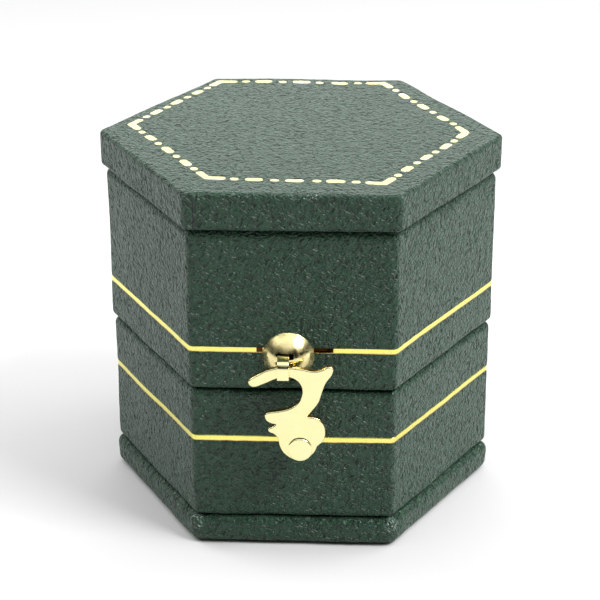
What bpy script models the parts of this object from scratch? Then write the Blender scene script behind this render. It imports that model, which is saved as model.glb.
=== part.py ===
"""Hexagonal ring box: a covered tray and a hinged lid, closed by a swinging hook on a rivet.

Metres, +Z up. The origin is the centre of the underside, the front face looks along -Y, and two
corners of the hexagon lie on the X axis.
"""

import math

import bmesh
import bpy
from mathutils import Matrix, Vector

MM = 0.001
COS30 = math.cos(math.radians(30))

# Hexagon sizes, as the distance from the middle to a flat side
TRAY_SIDE = 23.56 * MM
LID_SIDE = 23.77 * MM
TOP_SIDE = 24.42 * MM
BASE_SIDE = 23.90 * MM
WALL_CORNER = 1.0 * MM
TOP_CORNER = 1.2 * MM
BASE_CORNER = 2.2 * MM
CORNER_STEPS = 3
BASE_ROUNDS = (1.0 * MM, 1.1 * MM)
TOP_ROUNDS = (0.4 * MM, 0.7 * MM)

# Heights above the surface that the box stands on
UNDERLAY_TOP = 0.25 * MM
BASE_BOTTOM = 0.30 * MM
BASE_TOP = 4.20 * MM
TRAY_BOTTOM = 4.30 * MM
TRAY_RIM = 23.65 * MM
LID_RIM = 23.95 * MM
LID_TOP = 46.90 * MM
PLATE_BOTTOM = 47.00 * MM
PLATE_TOP = 52.20 * MM

# Covering material, boards and fits
COVER = 0.50 * MM
WALL = 2.00 * MM
FLOOR = 1.50 * MM
GLUE_GAP = 0.08 * MM
RIM_ROUND = 0.80 * MM
FOLD_ROUND = 0.40 * MM
TURN_IN = 5.0 * MM
TURN_UNDER = 4.0 * MM

# Linings and the ring cushion
TRAY_LINER = 1.20 * MM
COLLAR_TOP = 25.20 * MM
LID_LINER = 1.00 * MM
LID_LINER_BOTTOM = 25.90 * MM
BLOCK_TOP = 16.80 * MM
TROUGH_FLOOR = 10.00 * MM
PLATFORM = (17.00 * MM, 18.50 * MM)
ROLL_HALF_LENGTH = 12.0 * MM
ROLL_WIDTH = 5.90 * MM
ROLL_Z = (10.20 * MM, 20.40 * MM)
SLIT_HALF = 0.20 * MM
ROLL_CLEARANCE = 0.35 * MM
LID_PAD_DEPTH = 3.0 * MM

# Hinge at the back
HINGE_Z = 23.80 * MM
HINGE_Y = 24.73 * MM
KNUCKLE_R = 0.90 * MM
PIN_R = 0.40 * MM
PIN_CLEARANCE = 0.08 * MM
LEAF = 0.45 * MM
LEAF_GAP = 0.06 * MM
LEAF_HALF_WIDTH = 9.0 * MM
LEAF_NEAR = 1.10 * MM
LEAF_FAR = 7.00 * MM
MIDDLE_KNUCKLE = 2.90 * MM
KNUCKLE_GAP = 0.20 * MM
NAIL_X = (-6.5 * MM, 0.0, 6.5 * MM)
NAIL_HEIGHT = 4.2 * MM
NAIL_R = 0.30 * MM
NAIL_HEAD_R = 0.75 * MM
NAIL_TIP = 21.60 * MM

# Hook, its rivet and the keeper that it goes under
HOOK_PIVOT = (1.10 * MM, 17.00 * MM)
HOOK_BACK = 26.52 * MM
HOOK_THICK = 0.90 * MM
RIVET_R = 0.60 * MM
RIVET_HEAD_R = 1.65 * MM
RIVET_HEAD = 0.25 * MM
RIVET_FIT = 0.08 * MM
SLEEVE_R = 1.35 * MM
BURR_R = 1.50 * MM
BURR = 0.45 * MM
BURR_RECESS = 0.95 * MM
HOOK_EDGE = 0.12 * MM
KEEPER = (-0.56 * MM, 29.00 * MM)
DOME_R = 3.45 * MM
DOME_HEIGHT = 2.35 * MM
DOME_SHEET = 0.30 * MM
KEEPER_PLATE_R = 2.75 * MM
STRAP_X = (-1.85 * MM, -0.30 * MM)
STRAP_SHEET = 0.40 * MM
STRAP_Z = 29.90 * MM
STRAP_FRONT = 28.02 * MM
STRAP_END = 27.55 * MM
STRAP_BEND = 0.90 * MM
CLINCH_BEND = 0.45 * MM

# Hook outline in x and z, millimetres, clockwise. Each run is a smooth curve, and runs meet in corners.
HOOK_RUNS = (
    # the round lobe at the right, down from the slit beside the neck
    ((2.05, 21.84), (3.05, 21.72), (3.95, 21.20), (4.46, 19.75), (4.22, 18.30), (3.42, 17.48)),
    # the big lobe round the rivet, and the lower of the two small lobes at the left
    (
        (3.42, 17.48), (2.95, 16.45), (2.05, 15.58), (0.95, 15.27), (-0.15, 15.58), (-1.10, 16.38),
        (-1.62, 17.40), (-1.86, 18.50), (-2.35, 19.16), (-3.02, 19.48), (-3.10, 19.98), (-2.55, 20.26),
        (-2.10, 20.62),
    ),
    # the upper small lobe, the throat, the finger, the tab at the right and the neck
    (
        (-2.10, 20.62), (-2.75, 20.78), (-3.38, 21.20), (-3.56, 21.95), (-3.12, 22.36), (-1.75, 22.58),
        (-0.40, 22.95), (0.68, 23.68), (1.32, 24.72), (1.42, 25.90), (0.88, 27.00), (-0.25, 27.62),
        (-1.75, 27.48), (-3.40, 26.72), (-4.75, 26.15), (-5.50, 26.32), (-5.66, 27.02), (-4.60, 27.82),
        (-2.75, 28.74), (-0.80, 29.02), (1.20, 28.87), (2.90, 28.54), (4.00, 28.76), (4.90, 29.25),
        (5.50, 28.90), (5.30, 27.98), (4.52, 26.80), (4.02, 25.40), (3.50, 23.85), (2.05, 21.84),
    ),
)
HOOK_STEPS = 3


def clear_scene():
    for obj in list(bpy.data.objects):
        bpy.data.objects.remove(obj, do_unlink=True)


def make_material(name, colour, roughness, metallic=0.0):
    material = bpy.data.materials.new(name)
    material.use_nodes = True
    shader = material.node_tree.nodes["Principled BSDF"]
    shader.inputs["Base Color"].default_value = (*colour, 1.0)
    shader.inputs["Roughness"].default_value = roughness
    shader.inputs["Metallic"].default_value = metallic
    material.diffuse_color = (*colour, 1.0)
    return material


def make_object(name, bm, material=None):
    """Turns a bmesh into an object with its faces pointing out. With no material it is a cutter."""
    bmesh.ops.recalc_face_normals(bm, faces=bm.faces)
    mesh = bpy.data.meshes.new(name)
    bm.to_mesh(mesh)
    bm.free()
    obj = bpy.data.objects.new(name, mesh)
    bpy.context.scene.collection.objects.link(obj)
    if material:
        mesh.materials.append(material)
        mesh.shade_smooth()
        mesh.set_sharp_from_angle(angle=math.radians(35))
    else:
        obj.hide_render = True
        obj.display_type = "WIRE"
    return obj


def move_origin(obj, place):
    """Puts the object's origin at a point and leaves its shape where it is."""
    obj.data.transform(Matrix.Translation(-Vector(place)))
    obj.location = place


def combine(obj, other, operation="DIFFERENCE"):
    modifier = obj.modifiers.new(other.name, "BOOLEAN")
    modifier.operation = operation
    modifier.object = other
    modifier.solver = "EXACT"


def skin(bm, loops, closed):
    """Faces between one loop of vertices and the next. Loops that don't close on the first get two caps."""
    pairs = list(zip(loops, loops[1:]))
    if closed:
        pairs.append((loops[-1], loops[0]))
    else:
        bm.faces.new(loops[0])
        bm.faces.new(loops[-1])
    count = len(loops[0])
    for low, high in pairs:
        for i in range(count):
            j = (i + 1) % count
            bm.faces.new((low[i], low[j], high[j], high[i]))


def hexagon(side, corner):
    """Plan of a hexagon with rounded corners, two of them on the X axis."""
    middle = (side - corner) / COS30
    points = []
    for turn in range(0, 360, 60):
        out = Vector((math.cos(math.radians(turn)), math.sin(math.radians(turn)))) * middle
        for step in range(CORNER_STEPS + 1):
            angle = math.radians(turn - 30 + 60 * step / CORNER_STEPS)
            points.append(out + Vector((math.cos(angle), math.sin(angle))) * corner)
    return points


def hex_body(name, rings, material, closed=False):
    """Solid through hexagonal rings, each given as side distance, height and corner radius."""
    bm = bmesh.new()
    loops = [[bm.verts.new((*p, z)) for p in hexagon(side, corner)] for side, z, corner in rings]
    skin(bm, loops, closed)
    return make_object(name, bm, material)


def arc(side, z, radius, start, end, steps=3):
    """Side distance and height along an arc. Angles in degrees: 0 points outwards and 90 up."""
    angles = (math.radians(start + (end - start) * i / steps) for i in range(steps + 1))
    return [(side + radius * math.cos(a), z + radius * math.sin(a)) for a in angles]


def with_corners(path, outer_side, outer_corner):
    """Adds to each ring a corner radius that shrinks with its distance from the outer face."""
    smallest = 0.25 * MM
    return [(side, z, max(outer_corner - (outer_side - side), smallest)) for side, z in path]


def turned(name, profile, place, material=None, steps=16, closed=False):
    """Turned piece along +Y from place. The profile gives radius and distance along the axis."""
    bm = bmesh.new()
    loops = []
    for radius, along in profile:
        angles = [2 * math.pi * i / steps for i in range(steps)]
        loops.append([
            bm.verts.new((radius * math.cos(a), along, radius * math.sin(a))) for a in angles
        ])
    skin(bm, loops, closed)
    bmesh.ops.translate(bm, verts=bm.verts, vec=Vector(place))
    return make_object(name, bm, material)


def add_box(bm, low, high):
    plan = ((low[0], low[1]), (high[0], low[1]), (high[0], high[1]), (low[0], high[1]))
    corners = [[bm.verts.new((x, y, z)) for x, y in plan] for z in (low[2], high[2])]
    skin(bm, corners, closed=False)


def box(name, low, high, material=None):
    bm = bmesh.new()
    add_box(bm, low, high)
    return make_object(name, bm, material)


def add_rod(bm, radius, start, end, steps=12):
    """Round bar between two points."""
    start, end = Vector(start), Vector(end)
    turn = Vector((0, 0, 1)).rotation_difference(end - start).to_matrix()
    loops = []
    for centre in (start, end):
        angles = [2 * math.pi * i / steps for i in range(steps)]
        loops.append([
            bm.verts.new(centre + turn @ Vector((math.cos(a), math.sin(a), 0)) * radius) for a in angles
        ])
    skin(bm, loops, closed=False)


def rods(name, radius, ends, steps=12):
    """Cutter of one or more separate round bars."""
    bm = bmesh.new()
    for start, end in ends:
        add_rod(bm, radius, start, end, steps)
    return make_object(name, bm)


def rounded(points, closed=True, step=15):
    """Replaces each corner (x, z, radius) with an arc. An open path keeps its two ends."""
    result = []
    for i, (x, z, radius) in enumerate(points):
        corner = Vector((x, z))
        if not closed and i in (0, len(points) - 1):
            result.append(corner)
            continue
        back = Vector(points[i - 1][:2]) - corner
        ahead = Vector(points[(i + 1) % len(points)][:2]) - corner
        half = back.angle(ahead) / 2
        reach = min(radius / math.tan(half), 0.49 * back.length, 0.49 * ahead.length)
        radius = reach * math.tan(half)
        centre = corner + (back.normalized() + ahead.normalized()).normalized() * radius / math.sin(half)
        start = corner + back.normalized() * reach - centre
        end = corner + ahead.normalized() * reach - centre
        first = math.atan2(start.y, start.x)
        sweep = (math.atan2(end.y, end.x) - first + math.pi) % (2 * math.pi) - math.pi
        steps = max(1, math.ceil(abs(math.degrees(sweep)) / step))
        for k in range(steps + 1):
            angle = first + sweep * k / steps
            result.append(centre + Vector((math.cos(angle), math.sin(angle))) * radius)
    return result


def smooth_run(points, steps):
    """Points along a Catmull-Rom curve through the given ones, without the last."""
    knots = [Vector(p) for p in points]
    knots = [2 * knots[0] - knots[1], *knots, 2 * knots[-1] - knots[-2]]
    result = []
    for a, b, c, d in zip(knots, knots[1:], knots[2:], knots[3:]):
        for k in range(steps):
            t = k / steps
            bent = 2 * b + (c - a) * t + (2 * a - 5 * b + 4 * c - d) * t**2 + (3 * b - a - 3 * c + d) * t**3
            result.append(bent / 2)
    return result


def cover_bag(name, side, bottom, top, rounds, corner, material):
    """Covering drawn over a board and turned under it, so its underside is open in the middle."""
    low_round, high_round = rounds
    path = arc(side - high_round, top - high_round, high_round, 90, 0)
    path += arc(side - low_round, bottom + low_round, low_round, 0, -90)
    path += [(side - low_round - TURN_UNDER, bottom), (side - low_round - TURN_UNDER, bottom + COVER)]
    path += arc(side - low_round, bottom + low_round, low_round - COVER, -90, 0, 2)
    path += arc(side - high_round, top - high_round, high_round - COVER, 0, 90, 2)
    return hex_body(name, with_corners(path, side, corner), material)


def board_plate(name, side, bottom, top, rounds, corner, material):
    """Board inside a cover_bag, a glue gap smaller than its inside."""
    inset = COVER + GLUE_GAP
    low_round, high_round = (max(r - inset, 0.1 * MM) for r in rounds)
    side, bottom, top = side - inset, bottom + inset, top - inset
    path = arc(side - low_round, bottom + low_round, low_round, -90, 0, 2)
    path += arc(side - high_round, top - high_round, high_round, 0, 90, 2)
    return hex_body(name, with_corners(path, side, corner - inset), material)


def cover_sleeve(name, side, closed_end, rim, material):
    """Covering of a hexagonal wall: turned over its closed end, down its face and in over its rim."""
    up = 1 if rim > closed_end else -1
    inner = side - 2 * (COVER + GLUE_GAP) - WALL
    turn = 90 * up
    path = [(side - FOLD_ROUND - TURN_UNDER, closed_end)]
    path += arc(side - FOLD_ROUND, closed_end + up * FOLD_ROUND, FOLD_ROUND, -turn, 0, 2)
    path += arc(side - RIM_ROUND, rim - up * RIM_ROUND, RIM_ROUND, 0, turn)
    path += arc(inner + FOLD_ROUND, rim - up * FOLD_ROUND, FOLD_ROUND, turn, 2 * turn, 2)
    path += [
        (inner, rim - up * TURN_IN),
        (inner + COVER, rim - up * TURN_IN),
        (inner + COVER, rim - up * COVER),
        (side - COVER, rim - up * COVER),
        (side - COVER, closed_end + up * COVER),
        (side - FOLD_ROUND - TURN_UNDER, closed_end + up * COVER),
    ]
    return hex_body(name, with_corners(path, side, WALL_CORNER), material, closed=True)


def wall_shell(name, side, closed_end, rim, material):
    """Hexagonal cup of board inside a cover_sleeve."""
    up = 1 if rim > closed_end else -1
    inset = COVER + GLUE_GAP
    outer = side - inset
    inner = outer - WALL
    path = [
        (outer, closed_end + up * inset),
        (outer, rim - up * inset),
        (inner, rim - up * inset),
        (inner, closed_end + up * (inset + FLOOR)),
    ]
    return hex_body(name, with_corners(path, side, WALL_CORNER), material)


def liner(name, outer, thick, bottom, top, material):
    """Lining card: a hexagonal band with both of its edges rounded."""
    edge = thick / 2
    path = arc(outer - edge, bottom + edge, edge, -180, 0, 4)
    path += arc(outer - edge, top - edge, edge, 0, 180, 4)
    return hex_body(name, with_corners(path, outer, WALL_CORNER), material, closed=True)


def make_base(mats):
    underlay_side = BASE_SIDE - 1.9 * MM
    hex_body(
        "base_underlay",
        [(underlay_side, z, BASE_CORNER) for z in (0.0, UNDERLAY_TOP)],
        mats["felt"],
    )
    cover_bag("base_cover", BASE_SIDE, BASE_BOTTOM, BASE_TOP, BASE_ROUNDS, BASE_CORNER, mats["leather"])
    board_plate("base_board", BASE_SIDE, BASE_BOTTOM, BASE_TOP, BASE_ROUNDS, BASE_CORNER, mats["board"])


def make_tray(mats):
    shell = wall_shell("tray_shell", TRAY_SIDE, TRAY_BOTTOM, TRAY_RIM, mats["board"])
    cover = cover_sleeve("tray_cover", TRAY_SIDE, TRAY_BOTTOM, TRAY_RIM, mats["leather"])
    floor = TRAY_BOTTOM + COVER + GLUE_GAP + FLOOR
    liner_side = TRAY_SIDE - 2 * (COVER + GLUE_GAP) - WALL - GLUE_GAP
    liner("tray_liner", liner_side, TRAY_LINER, floor + GLUE_GAP, COLLAR_TOP, mats["velvet"])
    make_cushion(liner_side - TRAY_LINER, floor + GLUE_GAP, mats)
    return shell, cover


def make_cushion(room, floor, mats):
    """Foam block with a trough, a covered card with a window, and two rolls with the ring slit between."""
    window = (ROLL_HALF_LENGTH + ROLL_CLEARANCE, SLIT_HALF + ROLL_WIDTH + ROLL_CLEARANCE)
    trough = box(
        "cut_trough",
        (-window[0], -window[1], TROUGH_FLOOR),
        (window[0], window[1], PLATFORM[1] + FLOOR),
    )
    block_side = room - 0.4 * MM
    block = hex_body(
        "pad_block",
        [(block_side, z, WALL_CORNER) for z in (floor, BLOCK_TOP)],
        mats["foam"],
    )
    combine(block, trough)
    low, high = PLATFORM
    edge = (high - low) / 2
    platform_side = room - 0.2 * MM
    path = arc(platform_side - edge, low + edge, edge, -90, 90, 4)
    platform = hex_body("pad_platform", with_corners(path, platform_side, WALL_CORNER), mats["velvet"])
    combine(platform, trough)
    for name, way in (("ring_roll_front", -1), ("ring_roll_back", 1)):
        near, far = sorted((way * SLIT_HALF, way * (SLIT_HALF + ROLL_WIDTH)))
        roll = box(
            name,
            (-ROLL_HALF_LENGTH, near, ROLL_Z[0]),
            (ROLL_HALF_LENGTH, far, ROLL_Z[1]),
            mats["velvet"],
        )
        soften = roll.modifiers.new("soft_edges", "BEVEL")
        soften.width = 2.0 * MM
        soften.segments = 3


def make_lid(mats):
    shell = wall_shell("lid_shell", LID_SIDE, LID_TOP, LID_RIM, mats["board"])
    cover = cover_sleeve("lid_cover", LID_SIDE, LID_TOP, LID_RIM, mats["leather"])
    ceiling = LID_TOP - COVER - GLUE_GAP - FLOOR - GLUE_GAP
    liner_side = LID_SIDE - 2 * (COVER + GLUE_GAP) - WALL - GLUE_GAP
    liner("lid_liner", liner_side, LID_LINER, LID_LINER_BOTTOM, ceiling, mats["satin"])
    pad_side = liner_side - LID_LINER - 0.3 * MM
    swell = 1.3 * MM
    low = ceiling - LID_PAD_DEPTH
    path = arc(pad_side - swell, low + swell, swell, -90, 0) + [(pad_side, ceiling)]
    hex_body("lid_pad", with_corners(path, pad_side, 2 * WALL_CORNER), mats["satin"])
    cover_bag("top_cover", TOP_SIDE, PLATE_BOTTOM, PLATE_TOP, TOP_ROUNDS, TOP_CORNER, mats["leather"])
    board_plate("top_board", TOP_SIDE, PLATE_BOTTOM, PLATE_TOP, TOP_ROUNDS, TOP_CORNER, mats["board"])
    return shell, cover


def make_leaf(name, face, way, knuckles, mats):
    """Hinge leaf on a wall face, with its knuckles bent round the pin. way is 1 for up and -1 for down."""
    inner = face + LEAF_GAP
    near, far = sorted((HINGE_Z + way * LEAF_NEAR, HINGE_Z + way * LEAF_FAR))
    leaf = box(
        name,
        (-LEAF_HALF_WIDTH, inner, near),
        (LEAF_HALF_WIDTH, inner + LEAF, far),
        mats["brass"],
    )
    for start, end in knuckles:
        neck_near, neck_far = sorted((HINGE_Z, HINGE_Z + way * (LEAF_NEAR + LEAF)))
        neck_back = max(inner + LEAF, HINGE_Y - KNUCKLE_R + LEAF)
        neck = box(f"join_{name}_neck", (start, inner, neck_near), (end, neck_back, neck_far))
        bm = bmesh.new()
        add_rod(bm, KNUCKLE_R, (start, HINGE_Y, HINGE_Z), (end, HINGE_Y, HINGE_Z), 20)
        barrel = make_object(f"join_{name}_barrel", bm)
        combine(leaf, neck, "UNION")
        combine(leaf, barrel, "UNION")
    reach = 2 * LEAF_HALF_WIDTH
    hole = rods(
        f"cut_{name}_pin",
        PIN_R + PIN_CLEARANCE,
        [((-reach, HINGE_Y, HINGE_Z), (reach, HINGE_Y, HINGE_Z))],
        steps=16,
    )
    combine(leaf, hole)
    move_origin(leaf, (0, HINGE_Y, HINGE_Z))
    return leaf


def make_nails(side_name, face, way, mats):
    """Three nails through a hinge leaf into the wall behind it. Returns the cutter for their holes."""
    z = HINGE_Z + way * NAIL_HEIGHT
    leaf_face = face + LEAF_GAP + LEAF
    for number, x in enumerate(NAIL_X, start=1):
        gap = 0.05 * MM
        head = NAIL_HEAD_R
        profile = [
            (0.05 * MM, NAIL_TIP - leaf_face),
            (NAIL_R, NAIL_TIP - leaf_face + 0.6 * MM),
            (NAIL_R, gap),
            (head, gap),
            (head, gap + 0.12 * MM),
            (head * 0.7, gap + 0.28 * MM),
            (head * 0.25, gap + 0.34 * MM),
        ]
        turned(f"hinge_nail_{side_name}_{number}", profile, (x, leaf_face, z), mats["brass"], 12)
    start, end = NAIL_TIP - 0.1 * MM, leaf_face + MM
    return rods(f"cut_nails_{side_name}", NAIL_R + GLUE_GAP, [((x, start, z), (x, end, z)) for x in NAIL_X])


def make_hinge(tray_parts, lid_parts, mats):
    outer_start = MIDDLE_KNUCKLE + KNUCKLE_GAP
    outer_knuckles = [(-LEAF_HALF_WIDTH, -outer_start), (outer_start, LEAF_HALF_WIDTH)]
    middle_knuckle = [(-MIDDLE_KNUCKLE, MIDDLE_KNUCKLE)]
    sides = (
        ("tray", TRAY_SIDE, -1, outer_knuckles, tray_parts),
        ("lid", LID_SIDE, 1, middle_knuckle, lid_parts),
    )
    for side_name, face, way, knuckles, walls in sides:
        leaf = make_leaf(f"hinge_leaf_{side_name}", face, way, knuckles, mats)
        holes = make_nails(side_name, face, way, mats)
        for part in (leaf, *walls):
            combine(part, holes)
    bm = bmesh.new()
    reach = LEAF_HALF_WIDTH + 0.15 * MM
    add_rod(bm, PIN_R, (-reach, HINGE_Y, HINGE_Z), (reach, HINGE_Y, HINGE_Z), 16)
    pin = make_object("hinge_pin", bm, mats["brass"])
    move_origin(pin, (0, HINGE_Y, HINGE_Z))


def make_hook(mats):
    """The swinging hook, its origin on the rivet's axis."""
    outline = [point for run in HOOK_RUNS for point in smooth_run(run, HOOK_STEPS)]
    front = -(HOOK_BACK + HOOK_THICK)
    bm = bmesh.new()
    loops = [[bm.verts.new((x * MM, y, z * MM)) for x, z in outline] for y in (front, -HOOK_BACK)]
    skin(bm, loops, closed=False)
    hook = make_object("latch_hook", bm, mats["brass"])
    x, z = HOOK_PIVOT
    hole = rods(
        "cut_hook_hole",
        RIVET_R + RIVET_FIT,
        [((x, front - MM, z), (x, MM - HOOK_BACK, z))],
        steps=24,
    )
    combine(hook, hole)
    bevel = hook.modifiers.new("eased_edges", "BEVEL")
    bevel.width = HOOK_EDGE
    bevel.segments = 1
    bevel.limit_method = "ANGLE"
    bevel.angle_limit = math.radians(60)
    move_origin(hook, (x, front, z))


def make_hook_rivet(tray_parts, mats):
    """Rivet through the hook, a spacing sleeve and the tray wall, closed over a burr inside."""
    x, z = HOOK_PIVOT
    front = -(HOOK_BACK + HOOK_THICK) - 0.05 * MM
    wall_inside = -(TRAY_SIDE - COVER - GLUE_GAP - WALL)
    recess = wall_inside - BURR_RECESS
    burr_face = recess + 0.05 * MM
    tail = burr_face + BURR + 0.05 * MM
    head = RIVET_HEAD_R
    profile = [
        (head * 0.82, front - RIVET_HEAD),
        (head, front - RIVET_HEAD * 0.6),
        (head, front),
        (RIVET_R, front),
        (RIVET_R, tail),
        (RIVET_R * 1.6, tail),
        (RIVET_R * 1.2, tail + 0.3 * MM),
    ]
    turned("latch_rivet", profile, (x, 0, z), mats["brass"], 24)
    hole_r = RIVET_R + RIVET_FIT
    tube = [
        (hole_r, -HOOK_BACK + 0.05 * MM),
        (SLEEVE_R, -HOOK_BACK + 0.05 * MM),
        (SLEEVE_R, -TRAY_SIDE - LEAF_GAP),
        (hole_r, -TRAY_SIDE - LEAF_GAP),
    ]
    turned("latch_sleeve", tube, (x, 0, z), mats["brass"], 20, closed=True)
    washer = [
        (hole_r, burr_face),
        (BURR_R, burr_face),
        (BURR_R, burr_face + BURR),
        (hole_r, burr_face + BURR),
    ]
    turned("latch_burr", washer, (x, 0, z), mats["brass"], 20, closed=True)
    bore = rods("cut_rivet_bore", hole_r, [((x, -TRAY_SIDE - MM, z), (x, wall_inside + MM, z))], steps=16)
    pocket = rods("cut_rivet_pocket", BURR_R + 0.2 * MM, [((x, recess, z), (x, wall_inside + MM, z))], 20)
    shell, cover = tray_parts
    combine(shell, bore)
    combine(cover, bore)
    combine(shell, pocket)


def make_keeper(lid_parts, mats):
    """Domed stud on the lid, and the bent strap that comes out of its slot and down over the finger."""
    shell, cover = lid_parts
    x, z = KEEPER
    face = -LID_SIDE - 0.05 * MM
    sphere = (DOME_R**2 + DOME_HEIGHT**2) / (2 * DOME_HEIGHT)
    sunk = sphere - DOME_HEIGHT
    steps = 8
    tiny = 0.04 * MM

    def cap(radius, towards):
        edge = math.acos(sunk / radius)
        angles = [edge * i / steps for i in range(steps + 1)]
        angles = angles if towards == "edge" else angles[::-1]
        return [(max(radius * math.sin(a), tiny), sunk - radius * math.cos(a)) for a in angles]

    profile = cap(sphere, "edge") + cap(sphere - DOME_SHEET, "middle")
    dome = turned("keeper_dome", profile, (x, face, z), mats["brass"], 32)
    slot = box(
        "cut_dome_slot",
        (STRAP_X[0] - 0.12 * MM, face - DOME_HEIGHT - MM, STRAP_Z - 0.42 * MM),
        (STRAP_X[1] + 0.65 * MM, face - 0.8 * MM, STRAP_Z + 0.65 * MM),
    )
    combine(dome, slot)

    wall_inside = -(LID_SIDE - COVER - GLUE_GAP - WALL)
    play = 0.08 * MM
    half = STRAP_SHEET / 2 + play
    through = box(
        "cut_strap_slot",
        (STRAP_X[0] - play, face - MM, STRAP_Z - half),
        (STRAP_X[1] + play, wall_inside + MM, STRAP_Z + half),
    )
    plate_profile = [(KEEPER_PLATE_R, 0.0), (KEEPER_PLATE_R, -0.4 * MM)]
    plate = turned("keeper_plate", plate_profile, (x, face, z), mats["brass"], 32)
    prongs = bmesh.new()
    sockets = bmesh.new()
    for way in (-1, 1):
        middle = x + way * 2.1 * MM
        for bm, spare in ((prongs, 0.0), (sockets, play)):
            add_box(
                bm,
                (middle - 0.18 * MM - spare, face - 0.2 * MM, z - 1.2 * MM - spare),
                (middle + 0.18 * MM + spare, wall_inside - 0.5 * MM + spare, z - 0.3 * MM + spare),
            )
    combine(plate, make_object("join_plate_prongs", prongs), "UNION")
    combine(plate, through)
    sockets = make_object("cut_prong_sockets", sockets)

    clinch_y = wall_inside - 0.5 * MM
    clinch_top = STRAP_Z + 2.2 * MM
    path = rounded(
        [
            (clinch_y, clinch_top, 0),
            (clinch_y, STRAP_Z, CLINCH_BEND),
            (-STRAP_FRONT, STRAP_Z, STRAP_BEND),
            (-STRAP_FRONT, STRAP_END, 0),
        ],
        closed=False,
        step=22.5,
    )
    bent_strip("keeper_strap", path, STRAP_SHEET, STRAP_X, mats["brass"])
    recess = box(
        "cut_clinch_recess",
        (STRAP_X[0] - play, clinch_y - half, STRAP_Z - half),
        (STRAP_X[1] + play, wall_inside + MM, clinch_top + play),
    )
    for part in (shell, cover):
        combine(part, through)
        combine(part, sockets)
    combine(shell, recess)


def bent_strip(name, path, thick, x_range, material):
    """Flat strip bent along a path of y and z, as wide as x_range."""
    left, right = [], []
    for i, point in enumerate(path):
        way = path[min(i + 1, len(path) - 1)] - path[max(i - 1, 0)]
        side = Vector((-way.y, way.x)).normalized() * thick / 2
        left.append(point + side)
        right.append(point - side)
    bm = bmesh.new()
    loops = [[bm.verts.new((x, y, z)) for y, z in left + right[::-1]] for x in x_range]
    skin(bm, loops, closed=False)
    return make_object(name, bm, material)


def main():
    clear_scene()
    mats = {
        "leather": make_material("green_leatherette", (0.022, 0.058, 0.042), 0.48),
        "board": make_material("grey_board", (0.42, 0.40, 0.36), 0.9),
        "felt": make_material("green_felt", (0.02, 0.045, 0.035), 0.95),
        "velvet": make_material("cream_velvet", (0.62, 0.56, 0.45), 0.9),
        "satin": make_material("cream_satin", (0.72, 0.66, 0.54), 0.45),
        "foam": make_material("white_foam", (0.75, 0.74, 0.70), 0.95),
        "brass": make_material("bright_brass", (0.90, 0.78, 0.42), 0.15, 1.0),
    }
    make_base(mats)
    tray_parts = make_tray(mats)
    lid_parts = make_lid(mats)
    make_hinge(tray_parts, lid_parts, mats)
    make_hook(mats)
    make_hook_rivet(tray_parts, mats)
    make_keeper(lid_parts, mats)


main()
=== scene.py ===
"""Looks of the hexagonal ring box: leatherette, gilt, brass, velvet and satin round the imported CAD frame."""
import math

import bmesh
import bpy
import numpy as np
from mathutils import Matrix, Vector
from mathutils.geometry import tessellate_polygon


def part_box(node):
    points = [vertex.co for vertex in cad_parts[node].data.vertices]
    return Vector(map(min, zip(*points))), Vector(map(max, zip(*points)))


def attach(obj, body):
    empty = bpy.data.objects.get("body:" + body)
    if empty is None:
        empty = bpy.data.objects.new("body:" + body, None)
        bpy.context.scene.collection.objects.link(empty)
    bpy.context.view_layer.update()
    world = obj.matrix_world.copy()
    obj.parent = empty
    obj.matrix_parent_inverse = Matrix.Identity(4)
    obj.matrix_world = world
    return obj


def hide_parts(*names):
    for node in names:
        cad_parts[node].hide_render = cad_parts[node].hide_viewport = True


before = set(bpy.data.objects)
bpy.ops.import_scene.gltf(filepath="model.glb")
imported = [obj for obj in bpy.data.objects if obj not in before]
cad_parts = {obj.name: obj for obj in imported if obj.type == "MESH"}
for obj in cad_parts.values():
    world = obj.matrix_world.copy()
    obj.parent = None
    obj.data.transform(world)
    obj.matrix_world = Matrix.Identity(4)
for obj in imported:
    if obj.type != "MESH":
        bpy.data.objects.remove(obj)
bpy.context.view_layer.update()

MM = 0.001
COS30 = math.cos(math.radians(30))

# Fine mesh of the coverings
GRID = 0.36 * MM
ARC_STEPS = 6
COVER = 0.50 * MM
WALL_CORNER = 1.0 * MM
TOP_CORNER = 1.2 * MM
BASE_CORNER = 2.2 * MM
SMALLEST_CORNER = 0.05 * MM

# Gilt lines round the walls, and how deep the hot tool pressed the leather
LINE_TRAY = 16.41 * MM
LINE_LID = 29.86 * MM
LINE_HALF = 0.43 * MM
PRESS_DEPTH = 0.075 * MM
PRESS_SOFT = 0.28 * MM
FOIL = 0.018 * MM

# Border stamped on the top: corners of its hexagon, and the marks along one side
BORDER_CORNERS = (
    (-11.4, -18.5), (11.9, -19.7), (23.0, 0.7), (11.3, 22.6), (-13.1, 22.6), (-23.9, 2.5),
)
BORDER_DOTS = (0.155, 0.386, 0.618, 0.841)
BORDER_DASHES = ((0.215, 0.318), (0.446, 0.554), (0.678, 0.785))
BORDER_ARM = 0.085
DASH_R = 0.58 * MM
DOT_R = 0.50 * MM

# Padded pieces: the cloth runs at SIM_SCALE times their size
SIM_SCALE = 20.0
SIM_FRAMES = 20
ROLL_SEAM = 10.6 * MM
PAD_SEAM = 16.6 * MM
PAD_MIDDLE = 43.3 * MM

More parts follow.
